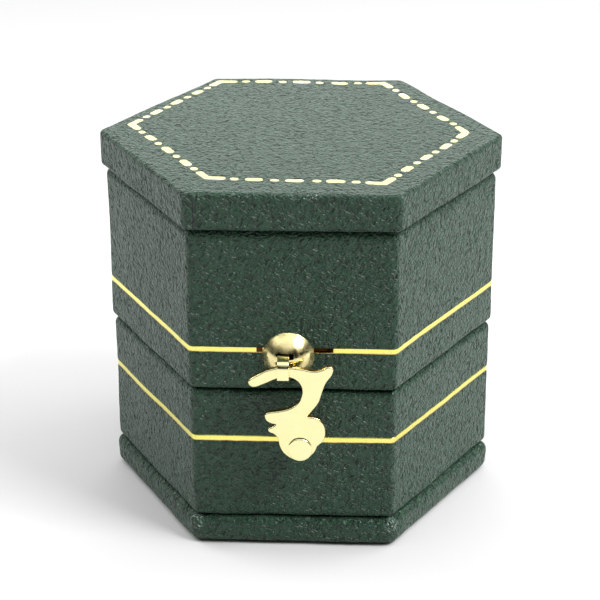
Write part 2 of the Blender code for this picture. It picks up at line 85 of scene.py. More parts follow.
# Clasp: the hook's outline is smooth runs through these points, in millimetres
STRAP_RUN = 29.90 * MM
HOOK_PIVOT = (1.10 * MM, 17.00 * MM)
RIVET_R = 0.60 * MM
HOOK_STEPS = 8
EDGE_FACING = 0.45
HOOK_RUNS = (
    ((2.05, 21.84), (3.05, 21.72), (3.95, 21.20), (4.46, 19.75), (4.22, 18.30), (3.42, 17.48)),
    (
        (3.42, 17.48), (2.95, 16.45), (2.05, 15.58), (0.95, 15.27), (-0.15, 15.58), (-1.10, 16.38),
        (-1.62, 17.40), (-1.86, 18.50), (-2.35, 19.16), (-3.02, 19.48), (-3.10, 19.98), (-2.55, 20.26),
        (-2.10, 20.62),
    ),
    (
        (-2.10, 20.62), (-2.75, 20.78), (-3.38, 21.20), (-3.56, 21.95), (-3.12, 22.36), (-1.75, 22.58),
        (-0.40, 22.95), (0.68, 23.68), (1.32, 24.72), (1.42, 25.90), (0.88, 27.00), (-0.25, 27.62),
        (-1.75, 27.48), (-3.40, 26.72), (-4.75, 26.15), (-5.50, 26.32), (-5.66, 27.02), (-4.60, 27.82),
        (-2.75, 28.74), (-0.80, 29.02), (1.20, 28.87), (2.90, 28.54), (4.00, 28.76), (4.90, 29.25),
        (5.50, 28.90), (5.30, 27.98), (4.52, 26.80), (4.02, 25.40), (3.50, 23.85), (2.05, 21.84),
    ),
)


# ---------------------------------------------------------------- node materials

def new_material(name):
    material = bpy.data.materials.new(name)
    material.use_nodes = True
    tree = material.node_tree
    return material, tree, tree.nodes["Principled BSDF"]


def node(tree, kind, inputs=None, **settings):
    """Adds a node. Each input is a value, or a socket to link from."""
    made = tree.nodes.new("ShaderNode" + kind)
    for key, value in settings.items():
        setattr(made, key, value)
    for key, value in (inputs or {}).items():
        if isinstance(value, bpy.types.NodeSocket):
            tree.links.new(value, made.inputs[key])
        else:
            made.inputs[key].default_value = value
    return made


def millimetres(tree):
    """Coordinates fixed to the piece, in millimetres."""
    place = node(tree, "TexCoord").outputs["Object"]
    return node(tree, "VectorMath", {0: place, "Scale": 1000.0}, operation="SCALE").outputs[0]


def noise(tree, at, scale, detail=2.0, roughness=0.5, distortion=0.0):
    inputs = {"Vector": at, "Scale": scale, "Detail": detail, "Roughness": roughness}
    inputs["Distortion"] = distortion
    return node(tree, "TexNoise", inputs).outputs["Fac"]


def maths(tree, operation, a, b=0.0):
    return node(tree, "Math", {0: a, 1: b}, operation=operation).outputs[0]


def remap(tree, value, low, high, to_low=0.0, to_high=1.0):
    inputs = {"Value": value, "From Min": low, "From Max": high, "To Min": to_low, "To Max": to_high}
    return node(tree, "MapRange", inputs, interpolation_type="SMOOTHSTEP").outputs["Result"]


def blend_colours(tree, share, first, second):
    return node(tree, "Mix", {"Factor": share, 6: first, 7: second}, data_type="RGBA").outputs[2]


def bump(tree, height, distance, strength=1.0, under=None):
    inputs = {"Height": height, "Distance": distance, "Strength": strength}
    if under:
        inputs["Normal"] = under
    return node(tree, "Bump", inputs).outputs["Normal"]


def connect(tree, shader, **sockets):
    for key, value in sockets.items():
        tree.links.new(value, shader.inputs[key.replace("_", " ")])


def near_value(tree, value, middle, half, soft):
    """1 within half of middle, falling to 0 over soft."""
    away = maths(tree, "ABSOLUTE", maths(tree, "SUBTRACT", value, middle))
    return remap(tree, away, half, half + soft, 1.0, 0.0)


def all_of(tree, *masks):
    result = masks[0]
    for mask in masks[1:]:
        result = maths(tree, "MULTIPLY", result, mask)
    return result


def worn_specks(tree, at):
    """Pale rubbed specks along the lid plate's front edge and on the base's two front corners."""
    parts = node(tree, "SeparateXYZ", {0: at}).outputs
    x, y, z = parts["X"], parts["Y"], parts["Z"]
    across = maths(tree, "ABSOLUTE", x)
    groups = remap(tree, noise(tree, at, 0.32, 2.0, 0.5), 0.54, 0.64)
    specks = remap(tree, noise(tree, at, 3.4, 3.0, 0.7), 0.55, 0.60)
    front = remap(tree, y, -23.6, -23.9, 0.0, 1.0)
    plate_edge = all_of(tree, front, near_value(tree, z, 51.85, 0.22, 0.20), groups)
    at_corner = near_value(tree, across, 13.4, 0.5, 0.6)
    corner_rub = all_of(tree, at_corner, remap(tree, y, -22.4, -22.9), near_value(tree, z, 3.3, 0.7, 0.5))
    places = maths(tree, "MAXIMUM", plate_edge, corner_rub)
    return all_of(tree, specks, places)


def plate_fold(tree, at):
    """The turned edge of the covering, a short upright line beside the plate's front left corner. The seam is real
    and pressed in; its near-black colour is painted shade in the seam's gap.
    """
    parts = node(tree, "SeparateXYZ", {0: at}).outputs
    wobble = noise(tree, at, 0.9, 1.0)
    x = maths(tree, "ADD", parts["X"], maths(tree, "MULTIPLY", wobble, 0.22))
    line = near_value(tree, x, -12.62, 0.05, 0.07)
    height = near_value(tree, parts["Z"], 49.3, 1.7, 0.3)
    return all_of(tree, line, height, remap(tree, parts["Y"], -23.9, -24.1))


def pale_foil_material():
    """The stamped border: thinner, chalkier foil than the lines."""
    material, tree, shader = new_material("pale_foil")
    at = millimetres(tree)
    wear = remap(tree, noise(tree, at, 2.6, 4.0, 0.65), 0.28, 0.40)
    gold = blend_colours(tree, noise(tree, at, 0.5, 2.0), (0.80, 0.72, 0.34, 1), (0.88, 0.82, 0.46, 1))
    colour = blend_colours(tree, wear, (0.50, 0.30, 0.12, 1), gold)
    surface = bump(tree, noise(tree, at, 1.6, 3.0, 0.6), 0.05 * MM)
    connect(tree, shader, Base_Color=colour, Normal=surface)
    shader.inputs["Roughness"].default_value = 0.42
    shader.inputs["Metallic"].default_value = 0.45
    return material


def leather_material():
    """Crinkled grain: a smooth ground about a millimetre across between short deep creases, with painted shade
    darkening the creases and pits.
    """
    material, tree, shader = new_material("green_leatherette")
    at = millimetres(tree)
    drift = node(tree, "TexNoise", {"Vector": at, "Scale": 0.8, "Detail": 1.0}).outputs["Color"]
    shifted = node(tree, "VectorMath", {0: drift, 1: (0.5, 0.5, 0.5)}, operation="SUBTRACT").outputs[0]
    bent = node(
        tree, "VectorMath", {0: shifted, 1: (1.4, 1.4, 1.4), 2: at}, operation="MULTIPLY_ADD"
    ).outputs[0]
    cells = node(
        tree, "TexVoronoi", {"Vector": bent, "Scale": 1.3, "Randomness": 1.0}, feature="DISTANCE_TO_EDGE"
    ).outputs["Distance"]
    pebbles = remap(tree, cells, 0.0, 0.26)
    folds = noise(tree, bent, 1.30, 1.5, 0.45, 0.2)
    creases = remap(tree, folds, 0.30, 0.50)
    fine = noise(tree, at, 5.0, 2.0, 0.6)
    height = maths(tree, "ADD", maths(tree, "MULTIPLY", pebbles, 0.25), maths(tree, "MULTIPLY", creases, 0.65))
    height = maths(tree, "ADD", height, maths(tree, "MULTIPLY", fine, 0.08))
    raised = remap(tree, height, 0.15, 0.60)
    patches = noise(tree, at, 0.22, 3.0, 0.5)
    # Painted shade: the grain's valleys are coloured darker than its ridges.
    valley = blend_colours(tree, patches, (0.0035, 0.0265, 0.0110, 1), (0.0050, 0.0310, 0.0140, 1))
    ridge = blend_colours(tree, patches, (0.0055, 0.0430, 0.0172, 1), (0.0085, 0.0500, 0.0225, 1))
    colour = blend_colours(tree, raised, valley, ridge)
    # Painted shade: near-black colour in the pits pressed into the grain.
    spots = node(
        tree, "TexVoronoi", {"Vector": bent, "Scale": 0.95, "Randomness": 1.0}, feature="F1"
    ).outputs["Distance"]
    pits = remap(tree, spots, 0.08, 0.24, 1.0, 0.0)
    colour = blend_colours(tree, maths(tree, "MULTIPLY", pits, 0.75), colour, (0.0016, 0.0090, 0.0050, 1))
    height = maths(tree, "SUBTRACT", height, maths(tree, "MULTIPLY", pits, 0.30))
    colour = blend_colours(tree, worn_specks(tree, at), colour, (0.34, 0.44, 0.38, 1))
    fold = plate_fold(tree, at)
    # Real fold seam, coloured near-black as painted shade for its gap.
    colour = blend_colours(tree, fold, colour, (0.0006, 0.0022, 0.0014, 1))
    height = maths(tree, "SUBTRACT", height, maths(tree, "MULTIPLY", fold, 0.7))
    rough = remap(tree, raised, 0.0, 0.8, 0.60, 0.40)
    connect(tree, shader, Base_Color=colour, Roughness=rough, Normal=bump(tree, height, 0.62 * MM))
    shader.inputs["IOR"].default_value = 1.5
    shader.inputs["Sheen Weight"].default_value = 0.12
    shader.inputs["Sheen Roughness"].default_value = 0.40
    shader.inputs["Sheen Tint"].default_value = (0.86, 1.0, 0.92, 1)
    return material


def gilt_material():
    """Foil of the lines, with painted shade on the lid's line beside the dome: the dark reflection of the dome's
    shadow.
    """
    material, tree, shader = new_material("gilt_foil")
    at = millimetres(tree)
    wear = remap(tree, noise(tree, at, 2.0, 4.0, 0.65), 0.26, 0.38)
    gold = blend_colours(tree, noise(tree, at, 0.5, 2.0), (0.84, 0.78, 0.17, 1), (0.90, 0.84, 0.23, 1))
    colour = blend_colours(tree, wear, (0.62, 0.42, 0.10, 1), gold)
    parts = node(tree, "SeparateXYZ", {0: at}).outputs
    right, left = (near_value(tree, parts["X"], x, half, 0.05) for x, half in ((4.1, 1.3), (-4.4, 0.4)))
    beside = maths(tree, "MAXIMUM", right, left)
    on_lid_line = near_value(tree, parts["Z"], LINE_LID / MM, 1.0, 0.2)
    # Painted shade: dark brown where the foil reflects the dome's shadow, in short stretches either side of the
    # dome on the lid's line.
    painted_dome_shadow = all_of(tree, beside, remap(tree, parts["Y"], -22.0, -23.0), on_lid_line)
    colour = blend_colours(tree, painted_dome_shadow, colour, (0.075, 0.028, 0.008, 1))
    rough = remap(tree, noise(tree, at, 3.0, 3.0), 0.3, 0.7, 0.10, 0.22)
    surface = bump(tree, noise(tree, at, 1.1, 2.0, 0.5), 0.010 * MM)
    connect(tree, shader, Base_Color=colour, Roughness=rough, Normal=surface)
    shader.inputs["Metallic"].default_value = 1.0
    return material


def brass_material(name, low_rough=0.10, high_rough=0.24, shade=1.0, dent=0.010 * MM):
    material, tree, shader = new_material(name)
    at = millimetres(tree)
    fade = (shade, shade**2, shade**3)
    dull, clear = (tuple(c * f for c, f in zip(rgb, fade)) for rgb in ((0.885, 0.825, 0.41), (0.905, 0.865, 0.50)))
    tone = blend_colours(tree, noise(tree, at, 0.35, 3.0), (*dull, 1), (*clear, 1))
    handled = remap(tree, noise(tree, at, 0.9, 4.0, 0.6), 0.35, 0.65, low_rough, high_rough)
    long = node(tree, "VectorMath", {0: at, 1: (9.0, 9.0, 0.7)}, operation="MULTIPLY").outputs[0]
    polish = bump(tree, noise(tree, long, 1.0, 3.0, 0.6), 0.0012 * MM)
    dents = bump(tree, noise(tree, at, 0.8, 2.0), dent, under=polish)
    connect(tree, shader, Base_Color=tone, Roughness=handled, Normal=dents)
    shader.inputs["Metallic"].default_value = 1.0
    return material


def velvet_material(name, dark, light):
    material, tree, shader = new_material(name)
    at = millimetres(tree)
    brushed = noise(tree, at, 0.35, 3.0, 0.6, 0.8)
    pile = noise(tree, at, 14.0, 2.0, 0.7)
    colour = blend_colours(tree, remap(tree, brushed, 0.2, 0.8, 0.35, 1.0), dark, light)
    colour = blend_colours(tree, remap(tree, pile, 0.2, 0.5, 0.5, 1.0), dark, colour)
    height = maths(tree, "ADD", pile, maths(tree, "MULTIPLY", brushed, 1.5))
    connect(tree, shader, Base_Color=colour, Normal=bump(tree, height, 0.05 * MM))
    shader.inputs["Roughness"].default_value = 0.9
    shader.inputs["Sheen Weight"].default_value = 0.7
    shader.inputs["Sheen Roughness"].default_value = 0.35
    shader.inputs["Sheen Tint"].default_value = (1.0, 0.97, 0.90, 1)
    return material


def satin_material():
    material, tree, shader = new_material("cream_satin")
    at = millimetres(tree)
    warp = node(tree, "VectorMath", {0: at, 1: (7.0, 7.0, 1.2)}, operation="MULTIPLY").outputs[0]
    threads = noise(tree, warp, 1.4, 2.0, 0.6)
    tone = remap(tree, noise(tree, at, 0.25, 2.0), 0.35, 0.65)
    colour = blend_colours(tree, tone, (0.70, 0.63, 0.50, 1), (0.80, 0.75, 0.64, 1))
    rough = remap(tree, threads, 0.3, 0.7, 0.28, 0.44)
    connect(tree, shader, Base_Color=colour, Roughness=rough, Normal=bump(tree, threads, 0.015 * MM))
    shader.inputs["Sheen Weight"].default_value = 0.3
    return material


def speckled_material(name, dark, light, scale, roughness, distance):
    """Board, felt or foam: a matt material with fibres or cells of its own scale."""
    material, tree, shader = new_material(name)
    at = millimetres(tree)
    fibres = noise(tree, at, scale, 4.0, 0.7, 0.4)
    colour = blend_colours(tree, remap(tree, fibres, 0.3, 0.7), dark, light)
    connect(tree, shader, Base_Color=colour, Normal=bump(tree, fibres, distance))
    shader.inputs["Roughness"].default_value = roughness
    return material


# ---------------------------------------------------------------- meshes

def linked(name, data):
    """A new object of this data, in the scene."""
    obj = bpy.data.objects.new(name, data)
    bpy.context.scene.collection.objects.link(obj)
    return obj


def finish_piece(name, mesh, material, smooth=True, sharp=None):
    """Gives the mesh an object and a material. Edges over sharp degrees stay hard."""
    obj = linked(name, mesh)
    mesh.materials.append(material)
    if smooth:
        mesh.shade_smooth()
    if sharp:
        mesh.set_sharp_from_angle(angle=math.radians(sharp))
    return obj


def ring_faces(rows, around, wrap=False, break_after=None):
    """Quads between neighbouring rings of a grid of points."""
    last = rows if wrap else rows - 1
    low = np.array([r for r in range(last) if r != break_after])[:, None] * around
    high = (low + around) % (rows * around)
    here = np.arange(around)[None, :]
    ahead = (here + 1) % around
    return np.stack([low + here, low + ahead, high + ahead, high + here], -1).reshape(-1, 4)


def mesh_from(name, points, faces):
    mesh = bpy.data.meshes.new(name)
    mesh.from_pydata(points.reshape(-1, 3).tolist(), [], [list(map(int, f)) for f in faces])
    mesh.validate()
    mesh.update()
    return mesh


def hex_ring(side, corner, per_flat):
    """Plan of a hexagon with rounded corners as an (n, 2) array, anticlockwise, one corner on +X."""
    middle = (side - corner) / COS30
    points = []
    for turn in range(0, 360, 60):
        centre = middle * np.array([math.cos(math.radians(turn)), math.sin(math.radians(turn))])
        following = middle * np.array([math.cos(math.radians(turn + 60)), math.sin(math.radians(turn + 60))])
        angles = np.radians(turn - 30 + 60 * np.arange(ARC_STEPS + 1) / ARC_STEPS)
        arc_points = centre + corner * np.stack([np.cos(angles), np.sin(angles)], -1)
        start = arc_points[-1]
        end = following + corner * np.array([math.cos(angles[-1]), math.sin(angles[-1])])
        share = (np.arange(1, per_flat) / per_flat)[:, None]
        points += [arc_points, start + (end - start) * share]
    return np.concatenate(points)


def hex_rings(path, outer_side, outer_corner, grid=GRID):
    """Rings of points along a path of side distance and height. Corners tighten away from the outer face."""
    per_flat = round(outer_side / COS30 / grid)
    rings = []
    for side, z in path:
        corner = max(outer_corner - (outer_side - side), SMALLEST_CORNER)
        corner = min(corner, 0.9 * side)
        plan = hex_ring(side, corner, per_flat)
        rings.append(np.column_stack([plan, np.full(len(plan), z)]))
    return np.array(rings)


def outward(rings):
    """Unit normals of rings that run up the outside of a piece."""
    along = np.roll(rings, -1, axis=1) - np.roll(rings, 1, axis=1)
    across = np.gradient(rings, axis=0)
    normal = np.cross(along, across)
    return normal / np.maximum(np.linalg.norm(normal, axis=-1, keepdims=True), 1e-12)


def arc(side, z, radius, start, end, steps):
    """Side distance and height along an arc. Angles in degrees: 0 points outwards and 90 up."""
    angles = [math.radians(start + (end - start) * i / steps) for i in range(steps + 1)]
    return [(side + radius * math.cos(a), z + radius * math.sin(a)) for a in angles]


def straight(start, end, step=GRID):
    """Points strictly between two ends."""
    count = max(1, round(math.dist(start, end) / step))
    return [
        (start[0] + (end[0] - start[0]) * i / count, start[1] + (end[1] - start[1]) * i / count)
        for i in range(1, count)
    ]


def ripple(points, wavelength, seed, waves=10):
    """Smooth unevenness of roughly one wavelength, mostly between -1 and 1."""
    draw = np.random.default_rng(seed)
    ways = draw.normal(size=(waves, 3))
    ways /= np.linalg.norm(ways, axis=1, keepdims=True)
    lengths = wavelength * draw.uniform(0.7, 1.5, waves)
    phases = draw.uniform(0, 2 * math.pi, waves)
    return np.sin(points @ (ways / lengths[:, None]).T * 2 * math.pi + phases).sum(-1) / math.sqrt(waves)


def soft_step(value):
    """0 at or below 0, 1 at or above 1, smooth between."""
    value = np.clip(value, 0, 1)
    return value * value * (3 - 2 * value)


# ---------------------------------------------------------------- coverings

def wall_height(points, line_z, seed):
    """How far the covering of a wall stands out from its flat face."""
    waves = 0.050 * MM * ripple(points, 11 * MM, seed) + 0.014 * MM * ripple(points, 2.6 * MM, seed + 1)
    away = np.abs(points[..., 2] - line_z) - LINE_HALF
    return waves - PRESS_DEPTH * (1 - soft_step(away / PRESS_SOFT))


def sleeve(name, node_name, closed_end, rim, end_round, line_z, seed, material):
    """Covering of the tray's or the lid's wall: turned under its closed end and in over its rim."""
    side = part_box(node_name)[1].y
    up = 1 if rim > closed_end else -1
    fold, rim_round, turn_under, turn_in = 0.40 * MM, 0.80 * MM, 4.0 * MM, 5.0 * MM
    inner = side - 3.16 * MM
    outer = [(side - end_round - turn_under, closed_end)]
    outer += arc(side - end_round, closed_end + up * end_round, end_round, -90 * up, 0, 6)
    outer += straight((side, closed_end + up * end_round), (side, rim - up * rim_round))
    outer += arc(side - rim_round, rim - up * rim_round, rim_round, 0, 90 * up, 6)
    outer += arc(inner + fold, rim - up * fold, fold, 90 * up, 180 * up, 3)
    outer += straight((inner, rim - up * fold), (inner, rim - up * turn_in), 3 * GRID)
    inside = [
        (inner, rim - up * turn_in),
        (inner + COVER, rim - up * turn_in),
        (inner + COVER, rim - up * COVER),
        (side - COVER, rim - up * COVER),
        (side - COVER, closed_end + up * end_round),
        (side - end_round, closed_end + up * COVER),
        (side - end_round - turn_under, closed_end + up * COVER),
    ]
    path = outer + inside
    if up < 0:
        path = path[::-1]
    rings = hex_rings(path, side, WALL_CORNER)
    face = np.array([s > inner + fold * 1.5 for s, _ in outer] + [False] * len(inside))
    if up < 0:
        face = face[::-1]
    lift = wall_height(rings, line_z, seed) * face[:, None]
    rings = rings + outward(rings) * lift[..., None]
    mesh = mesh_from(name, rings, ring_faces(len(rings), rings.shape[1], wrap=True))
    return finish_piece(name, mesh, material, sharp=50)


def with_painted_shade(obj, shaded_edge_brass, faces):
    """Gives some faces a darker brass as painted shade, for edges that catch no light."""
    obj.data.materials.append(shaded_edge_brass)
    for face in faces:
        face.material_index = 1
    return obj


def gilt_line(name, side, line_z, seed, material, shaded_edge_brass):
    """Foil band in the pressed line, a hair above the leather, with slightly ragged edges."""
    rows = 7
    shares = np.linspace(-1, 1, rows)
    rings = hex_rings([(side, line_z)] * rows, side, WALL_CORNER)
    ragged = 1 + 0.045 * ripple(rings, 1.3 * MM, seed + 5)
    rings[..., 2] = line_z + shares[:, None] * LINE_HALF * ragged
    wall = hex_rings([(side, line_z - MM), (side, line_z), (side, line_z + MM)], side, WALL_CORNER)
    outwards = np.broadcast_to(outward(wall)[1], rings.shape)
    rings = rings + outwards * (wall_height(rings, line_z, seed) + FOIL)[..., None]
    back = rings[::-1] - outwards * 3 * FOIL
    points = np.concatenate([rings, back])
    mesh = mesh_from(name, points, ring_faces(len(points), rings.shape[1], wrap=True))
    # Painted shade: the band's lowest strip takes the darker brass.
    return with_painted_shade(finish_piece(name, mesh, material), shaded_edge_brass, mesh.polygons[:rings.shape[1]])


def border_marks():
    """Centre lines of the stamped marks on the top, as lists of (x, y) in metres with a half width."""
    draw = np.random.default_rng(7)
    corners = [np.array(c) * MM for c in BORDER_CORNERS]
    marks = []
    for i, corner in enumerate(corners):
        before, after = corners[i - 1], corners[(i + 1) % 6]
        arm_in = corner + (before - corner) * BORDER_ARM
        arm_out = corner + (after - corner) * BORDER_ARM
        marks.append((np.array([arm_in, corner, arm_out]), DASH_R * 0.95))
        for share in BORDER_DOTS:
            middle = corner + (after - corner) * (share + draw.normal(0, 0.003))
            middle = middle + draw.normal(0, 0.05 * MM, 2)
            way = (after - corner) / np.linalg.norm(after - corner)
            marks.append((np.array([middle - way * 0.10 * MM, middle + way * 0.10 * MM]), DOT_R))
        for low, high in BORDER_DASHES:
            wobble = draw.normal(0, 0.07 * MM, (2, 2))
            ends = np.array([corner + (after - corner) * s for s in (low, high)]) + wobble
            way = (ends[1] - ends[0]) / np.linalg.norm(ends[1] - ends[0])
            ends += np.array([way, -way]) * DASH_R
            marks.append((ends, DASH_R))
    return marks


def distance_to_line(points, line):
    """Distance in plan from points to a line of two or three points."""
    best = np.full(points.shape[:-1], 1e3)
    for a, b in zip(line, line[1:]):
        span = b - a
        share = np.clip(((points - a) @ span) / (span @ span), 0, 1)
        best = np.minimum(best, np.linalg.norm(points - (a + share[..., None] * span), axis=-1))
    return best


def top_height(points, marks, seed=31):
    """Unevenness of the top's covering, pressed down under each stamped mark."""
    waves = 0.060 * MM * ripple(points, 12 * MM, seed) + 0.014 * MM * ripple(points, 2.6 * MM, seed + 1)
    pressed = np.zeros(points.shape[:-1])
    for line, half in marks:
        away = (distance_to_line(points[..., :2], line) - half) / PRESS_SOFT
        pressed = np.maximum(pressed, 1 - soft_step(away))
    return waves - PRESS_DEPTH * pressed


def bag(name, node_name, rounds, corner, height, material, grid=GRID):
    """Covering drawn over a board and turned under it."""
    low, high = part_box(node_name)
    side = high.y
    low_round, high_round = rounds
    turn_under = 4.0 * MM
    outer = [(side - low_round - turn_under, low.z)]
    outer += arc(side - low_round, low.z + low_round, low_round, -90, 0, 8)
    outer += straight((side, low.z + low_round), (side, high.z - high_round), grid)
    outer += arc(side - high_round, high.z - high_round, high_round, 0, 90, 9)
    edge = side - high_round
    outer += straight((edge, high.z), (0.3 * MM, high.z), grid)
    outer += [(0.3 * MM, high.z)]
    inside = [(0.3 * MM, high.z - COVER)]
    inside += arc(side - high_round, high.z - high_round, high_round - COVER, 90, 0, 3)
    inside += arc(side - low_round, low.z + low_round, low_round - COVER, 0, -90, 3)
    inside += [(side - low_round - turn_under, low.z + COVER)]
    rings = hex_rings(outer + inside, side, corner, grid)
    shown = np.array([i > 1 for i in range(len(outer))] + [False] * len(inside))
    rings = rings + outward(rings) * (height(rings) * shown[:, None])[..., None]
    around = rings.shape[1]
    faces = ring_faces(len(rings), around, wrap=True, break_after=len(outer) - 1).tolist()
    top = (len(outer) - 1) * around
    faces.append(list(range(top, top + around)))
    faces.append(list(range(top + around, top + 2 * around))[::-1])
    mesh = mesh_from(name, rings, faces)
    return finish_piece(name, mesh, material, sharp=50)


def gilt_border(marks, top, material):
    """The stamped foil marks, each a thin crowned patch with round ends."""
    points, faces = [], []
    across = np.linspace(-1, 1, 5)
    for line, half in marks:
        steps = []
        for a, b in zip(line, line[1:]):
            count = max(2, round(np.linalg.norm(b - a) / (0.12 * MM)))
            steps += [a + (b - a) * k / count for k in range(count)]
        steps.append(line[-1])
        way_first = (line[1] - line[0]) / np.linalg.norm(line[1] - line[0])
        way_last = (line[-1] - line[-2]) / np.linalg.norm(line[-1] - line[-2])
        cap = [math.cos(math.radians(a)) for a in (4, 20, 38, 56, 74)]
        centres = [line[0] - way_first * half * c for c in cap] + steps
        centres += [line[-1] + way_last * half * c for c in cap[::-1]]
        widths = [half * math.sqrt(1 - c * c) for c in cap] + [half] * len(steps)
        widths += widths[:len(cap)][::-1]
        centres = np.array(centres)
        ways = np.gradient(centres, axis=0)
        ways /= np.linalg.norm(ways, axis=1, keepdims=True)
        sides = np.column_stack([-ways[:, 1], ways[:, 0]])
        flat_centres = np.column_stack([centres, centres[:, 0] * 0])
        widths = np.array(widths) * (1 + 0.05 * ripple(flat_centres, 0.9 * MM, 3))
        plan = centres[:, None] + sides[:, None] * (widths[:, None] * across[None])[..., None]
        flat = np.concatenate([plan, np.full((*plan.shape[:2], 1), top)], -1)
        upper = flat.copy()
        upper[..., 2] += top_height(flat, marks) + FOIL
        lower = upper.copy()
        lower[..., 2] -= 3 * FOIL
        loop = np.concatenate([upper, lower[:, ::-1]], 1)
        start = sum(len(p) for p in points)
        rows, around = loop.shape[:2]
        quads = ring_faces(rows, around)[:, ::-1] + start
        faces += quads.tolist()
        faces.append([start + k for k in range(around)])
        faces.append([start + (rows - 1) * around + k for k in range(around)][::-1])
        points.append(loop.reshape(-1, 3))
    mesh = mesh_from("gilt_border", np.concatenate(points), faces)
    return finish_piece("gilt_border", mesh, material, sharp=40)


def base_height(points):
    """Unevenness of the base's covering, with small gathers at its corners."""
    waves = 0.050 * MM * ripple(points, 9 * MM, 51) + 0.016 * MM * ripple(points, 2.4 * MM, 52)
    angle = np.arctan2(points[..., 1], points[..., 0])
    off_corner = (angle + math.pi / 6) % (math.pi / 3) - math.pi / 6
    along = np.hypot(points[..., 0], points[..., 1]) * np.sin(off_corner)
    near = np.exp(-((along / (1.9 * MM)) ** 2)) * soft_step((points[..., 2] - 1.6 * MM) / (1.4 * MM))
    gathers = 0.13 * MM * np.cos(along / (0.42 * MM) + 0.8) * near
    return waves + gathers


# ---------------------------------------------------------------- brass

def turned(name, profile, place, material, steps=64):
    """Turned piece along +Y from place, with its closed profile given as radius and distance along the axis."""
    angles = 2 * math.pi * np.arange(steps) / steps
    rings = np.array([
        np.column_stack([r * np.cos(angles), np.full(steps, along), r * np.sin(angles)]) for r, along in profile
    ]) + np.array(place)
    mesh = mesh_from(name, rings, ring_faces(len(rings), steps, wrap=True))
    face_out(mesh)
    return finish_piece(name, mesh, material, sharp=32)


def face_out(mesh):
    bm = bmesh.new()
    bm.from_mesh(mesh)
    bmesh.ops.recalc_face_normals(bm, faces=bm.faces)
    bm.to_mesh(mesh)
    bm.free()


def rounded(points, closed=True, step=7.5):
    """Replaces each corner (x, z, radius) with an arc. An open path keeps its two ends."""
    result = []
    for i, (x, z, radius) in enumerate(points):
        corner = Vector((x, z))
        if not closed and i in (0, len(points) - 1):
            result.append(corner)
            continue
        back = Vector(points[i - 1][:2]) - corner
        ahead = Vector(points[(i + 1) % len(points)][:2]) - corner
        half = back.angle(ahead) / 2
        reach = min(radius / math.tan(half), 0.49 * back.length, 0.49 * ahead.length)
        radius = reach * math.tan(half)
        centre = corner + (back.normalized() + ahead.normalized()).normalized() * radius / math.sin(half)
        start = corner + back.normalized() * reach - centre
        end = corner + ahead.normalized() * reach - centre
        first = math.atan2(start.y, start.x)
        sweep = (math.atan2(end.y, end.x) - first + math.pi) % (2 * math.pi) - math.pi
        steps = max(2, math.ceil(abs(math.degrees(sweep)) / step))
        for k in range(steps + 1):
            angle = first + sweep * k / steps
            result.append(centre + Vector((math.cos(angle), math.sin(angle))) * radius)
    return result


def smooth_run(points, steps):
    """Points along a Catmull-Rom curve through the given ones, without the last."""
    knots = [Vector(p) for p in points]
    knots = [2 * knots[0] - knots[1], *knots, 2 * knots[-1] - knots[-2]]
    result = []
    for a, b, c, d in zip(knots, knots[1:], knots[2:], knots[3:]):
        for k in range(steps):
            t = k / steps
            bent = 2 * b + (c - a) * t + (2 * a - 5 * b + 4 * c - d) * t**2 + (3 * b - a - 3 * c + d) * t**3
            result.append(bent / 2)
    return result


def inset_outline(outline, amount):
    """Clockwise outline moved inwards, by each point's own normal."""
    before, after = np.roll(outline, 1, axis=0), np.roll(outline, -1, axis=0)
    way = after - before
    way /= np.linalg.norm(way, axis=1, keepdims=True)
    return outline + np.column_stack([way[:, 1], -way[:, 0]]) * amount


def plate_piece(name, outline, hole, front, back, edge, material):
    """Flat stamping in X and Z with rounded edges and a round hole. front and back are Y."""
    front_turn = [math.radians(a) for a in (0, 22.5, 45, 67.5, 90)]
    back_turn = [math.radians(a) for a in (90, 45, 0)]
    rings = [(edge * (1 - math.sin(a)), front + edge * (1 - math.cos(a))) for a in front_turn]
    rings += [(edge * (1 - math.sin(a)), back - edge * (1 - math.cos(a))) for a in back_turn]
    points, faces = [], []
    around = len(outline)
    for inset, y in rings:
        plan = inset_outline(outline, inset)
        points.append(np.column_stack([plan[:, 0], np.full(around, y), plan[:, 1]]))
    faces += ring_faces(len(rings), around).tolist()
    total = len(rings) * around
    for y in (front, back):
        points.append(np.column_stack([hole[:, 0], np.full(len(hole), y), hole[:, 1]]))
    faces += (ring_faces(2, len(hole)) + total).tolist()
    caps = ((0, 0), (len(rings) - 1, len(hole)))
    for ring, offset in caps:
        outer = inset_outline(outline, rings[ring][0])
        triangles = tessellate_polygon([
            [Vector((x, z, 0)) for x, z in outer], [Vector((x, z, 0)) for x, z in hole]
        ])
        for triangle in triangles:
            faces.append([
                ring * around + k if k < around else total + offset + k - around for k in triangle
            ])
    mesh = mesh_from(name, np.concatenate(points), faces)
    face_out(mesh)
    obj = finish_piece(name, mesh, material, sharp=50)
    obj.modifiers.new("flat_faces", "WEIGHTED_NORMAL").keep_sharp = True
    return obj


def make_hook(brass, shaded_edge_brass):
    low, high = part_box("latch_hook")
    outline = np.array([tuple(p) for run in HOOK_RUNS for p in smooth_run(run, HOOK_STEPS)]) * MM
    angles = 2 * math.pi * np.arange(32) / 32
    hole = np.array(HOOK_PIVOT) + (RIVET_R + 0.08 * MM) * np.column_stack([np.cos(angles), np.sin(angles)])
    hook = plate_piece("brass_hook", outline, hole, low.y, high.y, 0.16 * MM, brass)
    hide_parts("latch_hook")
    # Painted shade: the hook's sideways-facing edges take the darker brass.
    return with_painted_shade(hook, shaded_edge_brass, [face for face in hook.data.polygons if abs(face.normal.y) < EDGE_FACING])


